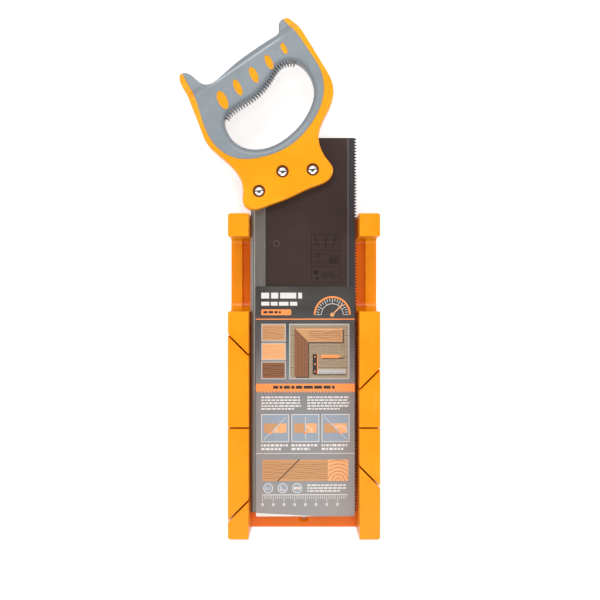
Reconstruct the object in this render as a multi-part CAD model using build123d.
from build123d import *
import os

# A miter box with its back saw stored in the channel. Millimetres, +Z up, +Y towards the saw's handle.
# The origin is the centre of the box's flat underside.

# Miter box
BOX_LENGTH = 300.0
BOX_WIDTH = 140.0
BOX_HEIGHT = 66.0
FLOOR_THICK = 6.0
CHANNEL_HALF_FLOOR = 50.3
CHANNEL_HALF_RIM = 50.9
CORNER_RADIUS = 2.5
RIM_RADIUS = 0.8
SKIN = 3.0
WEB_THICK = 2.2
KERF_WIDTH = 1.6
SQUARE_KERF_Y = -47.4
RISING_KERF_Y = -63.1
FALLING_KERF_Y = -31.6
RECESS_LOW_Y = 59.6
RECESS_HIGH_Y = 128.9
KERB_INNER_X = 59.4
KERB_TOP_Z = 11.0
RECESS_WALL_RADIUS = 9.0
RECESS_POST_RADIUS = 4.5
BENCH_HOLE_Y = 141.0
BENCH_HOLE_RADIUS = 2.4
BENCH_SINK_RADIUS = 4.6
LEFT_RIBS_Y = (-92.0, -14.0)
RIGHT_RIBS_Y = (-124.0, 32.0)
PAST = 1.0  # how far a cutting form reaches beyond the surface it opens

# Saw blade and spine
BLADE_Z = 45.0
BLADE_THICK = 0.9
TOE_Y = -128.0
HEEL_Y = 222.0
TOOTH_TIP_X = 49.6
TOOTH_DEPTH = 2.6
TOOTH_LEAN = 0.42
TEETH = 124
BACK_X = -50.0
HEEL_FRONT_X = 4.0
HEEL_MIDDLE = (-20.0, 205.0)
HEEL_BACK_Y = 199.0
FOLD_RADIUS = 2.7
LIP_HALF = 2.2
LIP_EDGE_RADIUS = 0.4
SPINE_DEPTH = 14.0
SPINE_END_Y = 164.0
BLADE_INSET = 1.8
SLOT_GAP = 0.06
SPINE_STOP = 0.5

# Handle
SKIN_PROUD = 12.0
SKIN_STEP = 0.8
CORE_PROUD = SKIN_PROUD - SKIN_STEP
GRIP_PROUD = 13.5
PALM_PROUD = 7.0
SKIN_DEPTH = 2.6
SKIN_EDGE_RADIUS = 0.7
OUTLINE_SAMPLES = 48
HOLE_SAMPLES = 30
GRIP_ANGLE = 34.3
PALM_LINE = 275.8
PALM_FOOT = 1.6
PALM_RIDGE = 5.2
PALM_RIDGE_RADIUS = 2.0
FINGER_LINE = 33.0
FINGER_DROP = 0.8
CHEEK_LINE = 53.0
CREASE_RADIUS = 20.0
HORN_REACH = 90.0
CHEEK_REACH = 240.0
HANDLE_LOW_Y = 140.0
SLAB_HALF = 20.0
NEAR = 0.01
LEVEL = 0.5
EDGE_PROBES = (0.37, 0.81)
OUTLINE_RADIUS = 2.0
HOLE_RADIUS = 6.0
HANDLE_OUTLINE = [
    (-93.5, 221.7), (-102.8, 246.1), (-110.9, 264.4), (-116.0, 275.1), (-115.3, 280.6), (-110.0, 281.7),
    (-97.1, 273.1), (-87.6, 270.5), (-80.0, 275.0), (-64.2, 289.7), (-45.4, 303.7), (-29.5, 313.9),
    (-23.9, 318.7), (-23.7, 326.4), (-20.7, 331.7), (-15.1, 333.1), (-9.3, 329.3), (2.2, 314.0),
    (19.4, 286.1), (26.8, 270.4), (27.3, 260.0), (21.0, 243.5), (14.7, 228.8), (14.0, 217.6),
    (21.0, 201.5), (27.0, 191.5), (25.2, 184.7), (7.9, 174.9), (-14.0, 165.0), (-34.0, 157.4),
    (-50.6, 154.6), (-55.9, 158.6), (-56.6, 171.0), (-61.8, 187.2), (-77.7, 203.5),
]
GRIP_HOLE = [
    (-69.9, 224.0), (-56.3, 212.2), (-36.4, 211.3), (-13.6, 223.2), (3.5, 243.9), (9.4, 263.9),
    (3.7, 282.4), (-9.6, 292.7), (-21.5, 290.8), (-33.1, 276.1), (-48.7, 259.5), (-66.8, 247.6),
    (-73.4, 239.9),
]
OVERMOULD_EDGE = [
    (-117.0, 290.0), (-110.6, 275.5), (-102.0, 259.9), (-93.9, 235.6), (-82.9, 214.2), (-64.8, 202.2),
    (-39.3, 202.6), (-12.2, 214.0), (7.8, 235.3), (18.1, 261.0), (15.4, 283.2), (5.2, 300.3),
    (-4.6, 314.6), (-18.1, 330.0), (-27.0, 340.0),
]
WINDOWS = [
    (-75.4, 255.3, 8.8, 18.0),
    (-61.3, 266.9, 6.5, 16.2),
    (-46.5, 278.6, 7.0, 15.6),
    (-32.4, 290.4, 6.3, 14.0),
    (-18.4, 302.8, 5.0, 11.2),
]
WINDOW_TILT = 25.0
WINDOW_SINK = 0.5
FINGER_RIBS = 30
FINGER_RIB_SPAN = (0.594, 0.928)
FINGER_RIB_WIDTH = 1.2
FINGER_RIB_REACH = 3.6
FINGER_RIB_ROOT = 0.8
FINGER_RIB_HALF = 7.6
FINGER_RIB_TIP_HALF = 5.5

# Handle screws and barrel nuts
SCREW_PLACES = [(-41.8, 171.2), (-20.0, 189.5), (8.1, 191.2)]
HEAD_RADIUS = 4.4
HEAD_DOME = 1.8
SEAT_RADIUS = 5.8
SEAT_DEPTH = 2.4
HEAD_EDGE = 0.5
BARREL_RADIUS = 2.9
BARREL_GAP = 0.06
BARREL_TOP = 6.0
SHANK_RADIUS = 2.0
SHANK_LENGTH = 15.0
BORE_RADIUS = 2.06
BORE_FLOOR = 1.5
SLOT_WIDTH = 1.1
SLOT_DEPTH = 0.9
SLOT_TURNS = (4.0, -8.0, 2.0)

# Insert card
CARD_WIDTH = 92.4
CARD_LENGTH = 215.0
CARD_THICK = 0.5
CARD_X = 1.3
CARD_Y = -24.5
CARD_LIFT = 1.9
CARD_TILT = 1.15
CARD_CORNER = 1.5


def block(x_low, x_high, y_low, y_high, z_low, z_high):
    middle = Pos((x_low + x_high) / 2, (y_low + y_high) / 2, (z_low + z_high) / 2)
    return middle * Box(x_high - x_low, y_high - y_low, z_high - z_low)


def prism(points, plane, depth):
    return extrude(plane * make_face(Polyline(*points, close=True)), depth)


# ---------------------------------------------------------------- miter box

def channel():
    """The work channel, a little wider at the rim than at the floor."""
    rise = BOX_HEIGHT + PAST
    profile = [
        (-CHANNEL_HALF_FLOOR, FLOOR_THICK),
        (CHANNEL_HALF_FLOOR, FLOOR_THICK),
        (CHANNEL_HALF_RIM, rise),
        (-CHANNEL_HALF_RIM, rise),
    ]
    plane = Plane.XZ.offset(-BOX_LENGTH / 2 - PAST)
    return prism(profile, plane, BOX_LENGTH + 2 * PAST)


def kerf_line(y_centre, angle, width, low_z):
    """An upright slab across both walls, as wide as a saw cut or as the web that lines it."""
    slab = Box(2 * BOX_WIDTH, width, BOX_HEIGHT + 2 * PAST, align=(Align.CENTER, Align.CENTER, Align.MIN))
    return Pos(0, y_centre, low_z) * Rot(0, 0, angle) * slab


def kerfs(width, low_z):
    return [
        kerf_line(SQUARE_KERF_Y, 0, width, low_z),
        kerf_line(RISING_KERF_Y, 45, width, low_z),
        kerf_line(FALLING_KERF_Y, -45, width, low_z),
    ]


def recess(side, x_in, x_out, bottom):
    """The opening in one wall, rounded where its floor meets the wall and the post."""
    height = BOX_HEIGHT + PAST - bottom
    middle_y = (RECESS_LOW_Y + RECESS_HIGH_Y) / 2
    face = Rectangle(RECESS_HIGH_Y - RECESS_LOW_Y, height)
    lower = face.vertices().sort_by(Axis.Y)[:2].sort_by(Axis.X)
    face = fillet(lower[0], RECESS_WALL_RADIUS)
    lower = face.vertices().sort_by(Axis.Y).filter_by(lambda v: v.X > 0)[:1]
    face = fillet(lower, RECESS_POST_RADIUS)
    cutter = extrude(Plane.YZ * face, x_out - x_in)
    start = x_in if side > 0 else -x_out
    return Pos(start, middle_y, bottom + height / 2) * cutter


def wall_core(side):
    """The hollow inside one double-skin wall, open underneath, with the webs and ribs left standing."""
    x_in = CHANNEL_HALF_RIM + SKIN
    x_out = BOX_WIDTH / 2 - SKIN
    top = BOX_HEIGHT - SKIN
    end = BOX_LENGTH / 2 - SKIN
    spans = [
        (x_in, -end, RECESS_LOW_Y - SKIN, top),
        (x_in, RECESS_HIGH_Y + SKIN, end, top),
        (KERB_INNER_X + SKIN, RECESS_LOW_Y - SKIN, RECESS_HIGH_Y + SKIN, KERB_TOP_Z - SKIN),
    ]
    ribs = LEFT_RIBS_Y if side < 0 else RIGHT_RIBS_Y
    hollow = None
    for x_start, y_low, y_high, z_high in spans:
        low, high = sorted((side * x_start, side * x_out))
        room = block(low, high, y_low, y_high, -PAST, z_high)
        hollow = room if hollow is None else hollow + room
    for web in kerfs(KERF_WIDTH + 2 * WEB_THICK, -2 * PAST):
        hollow = hollow - web
    for rib_y in ribs:
        hollow = hollow - block(-BOX_WIDTH, BOX_WIDTH, rib_y, rib_y + WEB_THICK, -2 * PAST, BOX_HEIGHT)
    return hollow


def bench_hole(y):
    """A countersunk screw hole through the floor."""
    sink = BENCH_SINK_RADIUS - BENCH_HOLE_RADIUS
    height = FLOOR_THICK + 2 * PAST
    shank = Cylinder(BENCH_HOLE_RADIUS, height, align=(Align.CENTER, Align.CENTER, Align.MIN))
    cone = Cone(BENCH_HOLE_RADIUS, BENCH_SINK_RADIUS, sink, align=(Align.CENTER, Align.CENTER, Align.MAX))
    return Pos(0, y, -PAST) * shank + Pos(0, y, FLOOR_THICK) * cone


def miter_box_body():
    body = block(-BOX_WIDTH / 2, BOX_WIDTH / 2, -BOX_LENGTH / 2, BOX_LENGTH / 2, 0, BOX_HEIGHT)
    body = fillet(body.edges().filter_by(Axis.Z), CORNER_RADIUS)
    body = body - channel()
    body = fillet(body.edges().group_by(Axis.Z)[-1], RIM_RADIUS)
    for side in (-1, 1):
        body = body - recess(side, CHANNEL_HALF_FLOOR - PAST, KERB_INNER_X, FLOOR_THICK)
        body = body - recess(side, KERB_INNER_X, BOX_WIDTH / 2 + PAST, KERB_TOP_Z)
        body = body - wall_core(side)
    for cut in kerfs(KERF_WIDTH, FLOOR_THICK):
        body = body - cut
    for y in (-BENCH_HOLE_Y, BENCH_HOLE_Y):
        body = body - bench_hole(y)
    return body


# ---------------------------------------------------------------- blade and spine

def tooth_points():
    """The toothed edge from toe to heel, each tooth leaning a little towards the toe."""
    pitch = (HEEL_Y - TOE_Y) / TEETH
    root_x = TOOTH_TIP_X - TOOTH_DEPTH
    points = []
    for number in range(TEETH):
        start = TOE_Y + number * pitch
        points.append((root_x, start))
        points.append((TOOTH_TIP_X, start + TOOTH_LEAN * pitch))
    points.append((root_x, HEEL_Y))
    return points


def blade_outline():
    back_x = BACK_X + BLADE_INSET
    heel_in_handle = [(HEEL_FRONT_X, HEEL_Y), HEEL_MIDDLE, (back_x, HEEL_BACK_Y)]
    return tooth_points() + heel_in_handle + [(back_x, TOE_Y)]


def saw_blade():
    sheet = Pos(0, 0, BLADE_Z - BLADE_THICK / 2) * prism(blade_outline(), Plane.XY, BLADE_THICK)
    for x, y in SCREW_PLACES:
        sheet = sheet - Pos(x, y, BLADE_Z) * Cylinder(BARREL_RADIUS + BARREL_GAP, 4 * BLADE_THICK)
    return sheet


def blade_room(clearance):
    """The slot that the blade's heel fills inside the handle."""
    low_y = HANDLE_LOW_Y
    front_x = TOOTH_TIP_X + PAST
    back_x = BACK_X + BLADE_INSET - clearance
    points = [
        (front_x, low_y),
        (front_x, HEEL_Y + clearance),
        (HEEL_FRONT_X - clearance, HEEL_Y + clearance),
        (HEEL_MIDDLE[0] - clearance, HEEL_MIDDLE[1] + clearance),
        (back_x, HEEL_BACK_Y + clearance),
        (back_x, low_y),
    ]
    thick = BLADE_THICK + 2 * clearance
    return Pos(0, 0, BLADE_Z - thick / 2) * prism(points, Plane.XY, thick)


def spine_bar(clearance, y_low, y_high):
    """The spine's outer form: a round fold at the back and two flatter lips in front of it."""
    lip_length = SPINE_DEPTH - FOLD_RADIUS + clearance
    lips = Rectangle(lip_length, 2 * (LIP_HALF + clearance), align=(Align.MIN, Align.CENTER))
    lips = fillet(lips.vertices().sort_by(Axis.X)[-2:], LIP_EDGE_RADIUS)
    face = Pos(BACK_X + FOLD_RADIUS, 0) * (Circle(FOLD_RADIUS + clearance) + lips)
    return Pos(0, y_low, BLADE_Z) * extrude(Plane.XZ * face, -(y_high - y_low))


def blade_spine():
    bar = spine_bar(0, TOE_Y, SPINE_END_Y)
    inside_fold_x = BACK_X + BLADE_INSET
    half = BLADE_THICK / 2
    slit = block(inside_fold_x, 0, TOE_Y - PAST, SPINE_END_Y + PAST, BLADE_Z - half, BLADE_Z + half)
    return bar - slit


# ---------------------------------------------------------------- handle

def closed_curve(points):
    return make_face(Wire([Spline(*points, periodic=True)]))


def curve_beside(points, distance, samples):
    """A smooth closed outline that stays a distance to the right of another one."""
    curve = Spline(*points, periodic=True)
    moved = []
    for number in range(samples):
        point = curve @ (number / samples)
        way = (curve % (number / samples)).normalized()
        moved.append((point.X + distance * way.Y, point.Y - distance * way.X))
    return closed_curve(moved)


def upright(face):
    """A face drawn in plan, made as tall as the handle is thick and more."""
    return extrude(Pos(0, 0, BLADE_Z - SLAB_HALF) * face, 2 * SLAB_HALF)


def pillow(sink):
    """A slab across the grip: crowned at the fingers, with a ridge along the palm edge and thin horns."""
    horn_half = PALM_PROUD - sink
    ridge_half = GRIP_PROUD - sink
    finger_half = GRIP_PROUD - FINGER_DROP - sink
    cheek_half = SKIN_PROUD - sink
    horn_end = PALM_LINE + HORN_REACH
    cheek_end = PALM_LINE - CHEEK_REACH
    bends = [
        (PALM_LINE + PALM_FOOT, horn_half, PALM_RIDGE_RADIUS),
        (PALM_LINE - PALM_RIDGE, ridge_half, PALM_RIDGE_RADIUS),
        (PALM_LINE - FINGER_LINE, finger_half, CREASE_RADIUS),
        (PALM_LINE - CHEEK_LINE, cheek_half, CREASE_RADIUS),
    ]
    upper = [(horn_end, horn_half)]
    upper += [(place, half) for place, half, radius in bends]
    upper.append((cheek_end, cheek_half))
    lower = [(place, -half) for place, half in reversed(upper)]
    profile = make_face(Polyline(*upper, *lower, close=True))
    for place, half, radius in bends:
        corners = [v for v in profile.vertices() if abs(v.X - place) < NEAR and abs(abs(v.Y) - half) < NEAR]
        profile = fillet(corners, radius)
    grip_way = Plane(origin=(0, 0, BLADE_Z)).rotated((0, 0, GRIP_ANGLE + 90))
    across = Plane(origin=grip_way.origin, x_dir=grip_way.x_dir, z_dir=grip_way.y_dir)
    return extrude(across * profile, 2 * BOX_LENGTH, both=True)


def rim_edges(solid, outline):
    """The edges where the two faces of a slab meet the wall that stands on an outline."""
    sides = [face for face in upright(outline).faces() if abs(face.normal_at().Z) < LEVEL]
    rims = []
    for edge in solid.edges():
        runs_up = abs((edge % 0.5).Z) > LEVEL
        on_wall = any(
            all(side.distance_to(edge @ probe) < NEAR for probe in EDGE_PROBES) for side in sides
        )
        if on_wall and not runs_up:
            rims.append(edge)
    return rims


def handle_blank(sink):
    """The handle without its hole, rounded round the outline, its faces that much lower than the skin's."""
    outline = closed_curve(HANDLE_OUTLINE)
    blank = upright(outline) & pillow(sink)
    return fillet(rim_edges(blank, outline), OUTLINE_RADIUS)


def handle_form():
    """The handle's form at the soft skin's level, with the finger hole rounded."""
    hole = closed_curve(GRIP_HOLE)
    form = handle_blank(0) - upright(hole)
    return fillet(rim_edges(form, hole), HOLE_RADIUS)


def overmould_zone():
    """The part of the handle that the soft skin covers, seen in plan."""
    edge = Spline(*OVERMOULD_EDGE)
    far = (OVERMOULD_EDGE[0][0], OVERMOULD_EDGE[-1][1])
    back = Polyline(OVERMOULD_EDGE[-1], far, OVERMOULD_EDGE[0])
    return upright(make_face(Wire([edge, *back.edges()])))


def skin_border(skin):
    """The edges of the skin's two flat faces along the line where the orange begins."""
    border = Spline(*OVERMOULD_EDGE)
    edges = []
    for edge in skin.edges():
        middle = edge @ 0.5
        level = abs(abs(middle.Z - BLADE_Z) - SKIN_PROUD) < NEAR
        near = border.distance_to(Vector(middle.X, middle.Y, 0)) < NEAR
        if level and near:
            edges.append(edge)
    return edges


def skin_core():
    """What lies under the soft skin: the handle's form, smaller all round by the skin's depth."""
    outline = curve_beside(HANDLE_OUTLINE, SKIN_DEPTH, OUTLINE_SAMPLES)
    hole = curve_beside(GRIP_HOLE, SKIN_DEPTH, HOLE_SAMPLES)
    return (upright(outline) & pillow(SKIN_DEPTH)) - upright(hole)


def windows():
    """Five upright ovals through the skin."""
    ovals = []
    for x, y, width, length in WINDOWS:
        oval = Pos(x, y) * Rot(0, 0, WINDOW_TILT) * Ellipse(width / 2, length / 2)
        ovals.append(upright(oval))
    return ovals


def finger_ribs():
    """Upright fins on the finger side of the hole, each halfway between square to the wall and to the grip."""
    curve = Spline(*GRIP_HOLE, periodic=True)
    from_grip = Vector(1, 0, 0).rotate(Axis.Z, GRIP_ANGLE - 90)
    start, end = FINGER_RIB_SPAN
    profile = make_face(Polyline(
        (-FINGER_RIB_ROOT, -FINGER_RIB_HALF),
        (FINGER_RIB_REACH, -FINGER_RIB_TIP_HALF),
        (FINGER_RIB_REACH, FINGER_RIB_TIP_HALF),
        (-FINGER_RIB_ROOT, FINGER_RIB_HALF),
        close=True,
    ))
    ribs = []
    for number in range(FINGER_RIBS):
        place = start + (end - start) * number / (FINGER_RIBS - 1)
        point = curve @ place
        tangent = curve % place
        from_wall = tangent.rotate(Axis.Z, 90)
        seat = Plane(
            origin=(point.X, point.Y, BLADE_Z),
            x_dir=from_wall.normalized() + from_grip,
            z_dir=tangent.normalized() + from_grip.rotate(Axis.Z, -90),
        )
        ribs.append(extrude(seat * profile, FINGER_RIB_WIDTH / 2, both=True))
    return ribs


def fastener_room(x, y):
    """One screw's hole through the handle, with a seat for a domed head on each cheek."""
    room = Cylinder(BARREL_RADIUS + BARREL_GAP, 4 * CORE_PROUD)
    for side in (-1, 1):
        seat = Cylinder(SEAT_RADIUS, SEAT_DEPTH + PAST)
        room = room + Pos(0, 0, side * (CORE_PROUD + (PAST - SEAT_DEPTH) / 2)) * seat
    return Pos(x, y, BLADE_Z) * room


def grip_overmould(form, zone, core, ovals):
    """The soft skin: proud of the orange beside it, open at the windows, ribbed at the fingers."""
    skin = form & zone
    skin = fillet(skin_border(skin), SKIN_EDGE_RADIUS)
    return (skin - [core, *ovals]) + finger_ribs()


def handle_core(zone, core, ovals):
    windowed = pillow(WINDOW_SINK)
    bosses = [oval & windowed for oval in ovals]
    body = (handle_blank(SKIN_STEP) - zone) + [core & zone, *bosses]
    spine_room = spine_bar(SLOT_GAP, HANDLE_LOW_Y, SPINE_END_Y + SPINE_STOP)
    screw_rooms = [fastener_room(x, y) for x, y in SCREW_PLACES]
    return body - [blade_room(SLOT_GAP), spine_room, *screw_rooms]


# ---------------------------------------------------------------- fasteners and card

def dome():
    """A low domed head, flat below, with a screwdriver slot across it."""
    rise = HEAD_DOME - HEAD_EDGE
    ball = (HEAD_RADIUS ** 2 + rise ** 2) / (2 * rise)
    disc = Cylinder(HEAD_RADIUS, HEAD_DOME, align=(Align.CENTER, Align.CENTER, Align.MIN))
    cap = Pos(0, 0, HEAD_DOME - ball) * Sphere(ball)
    slot = Pos(0, 0, HEAD_DOME - SLOT_DEPTH / 2) * Box(3 * HEAD_RADIUS, SLOT_WIDTH, SLOT_DEPTH)
    return (disc & cap) - slot


def handle_screws():
    screws = []
    seat = CORE_PROUD - SEAT_DEPTH
    for (x, y), turn in zip(SCREW_PLACES, SLOT_TURNS):
        shank = Cylinder(SHANK_RADIUS, SHANK_LENGTH, align=(Align.CENTER, Align.CENTER, Align.MAX))
        screw = Rot(0, 0, turn) * dome() + shank
        screws.append(Pos(x, y, BLADE_Z + seat) * screw)
    return Compound(children=screws)


def handle_nuts():
    nuts = []
    for x, y in SCREW_PLACES:
        seat = CORE_PROUD - SEAT_DEPTH
        length = seat + BARREL_TOP
        barrel = Cylinder(BARREL_RADIUS, length, align=(Align.CENTER, Align.CENTER, Align.MIN))
        bore = Cylinder(BORE_RADIUS, length, align=(Align.CENTER, Align.CENTER, Align.MIN))
        nut = Rot(180, 0, 0) * dome() + barrel
        nut = nut - Pos(0, 0, BORE_FLOOR) * bore
        nuts.append(Pos(x, y, BLADE_Z - seat) * nut)
    return Compound(children=nuts)


def insert_card():
    sheet = extrude(RectangleRounded(CARD_WIDTH, CARD_LENGTH, CARD_CORNER), CARD_THICK / 2, both=True)
    return Pos(CARD_X, CARD_Y, BLADE_Z + CARD_LIFT) * Rot(0, CARD_TILT, 0) * sheet


def main():
    os.makedirs("parts", exist_ok=True)
    form = handle_form()
    zone = overmould_zone()
    core = skin_core()
    ovals = windows()
    export_step(miter_box_body(), "parts/miter_box_body.step")
    export_step(saw_blade(), "parts/saw_blade.step")
    export_step(blade_spine(), "parts/blade_spine.step")
    export_step(handle_core(zone, core, ovals), "parts/handle_core.step")
    export_step(grip_overmould(form, zone, core, ovals), "parts/grip_overmould.step")
    export_step(handle_screws(), "parts/handle_screws.step")
    export_step(handle_nuts(), "parts/handle_nuts.step")
    export_step(insert_card(), "parts/insert_card.step")


main()
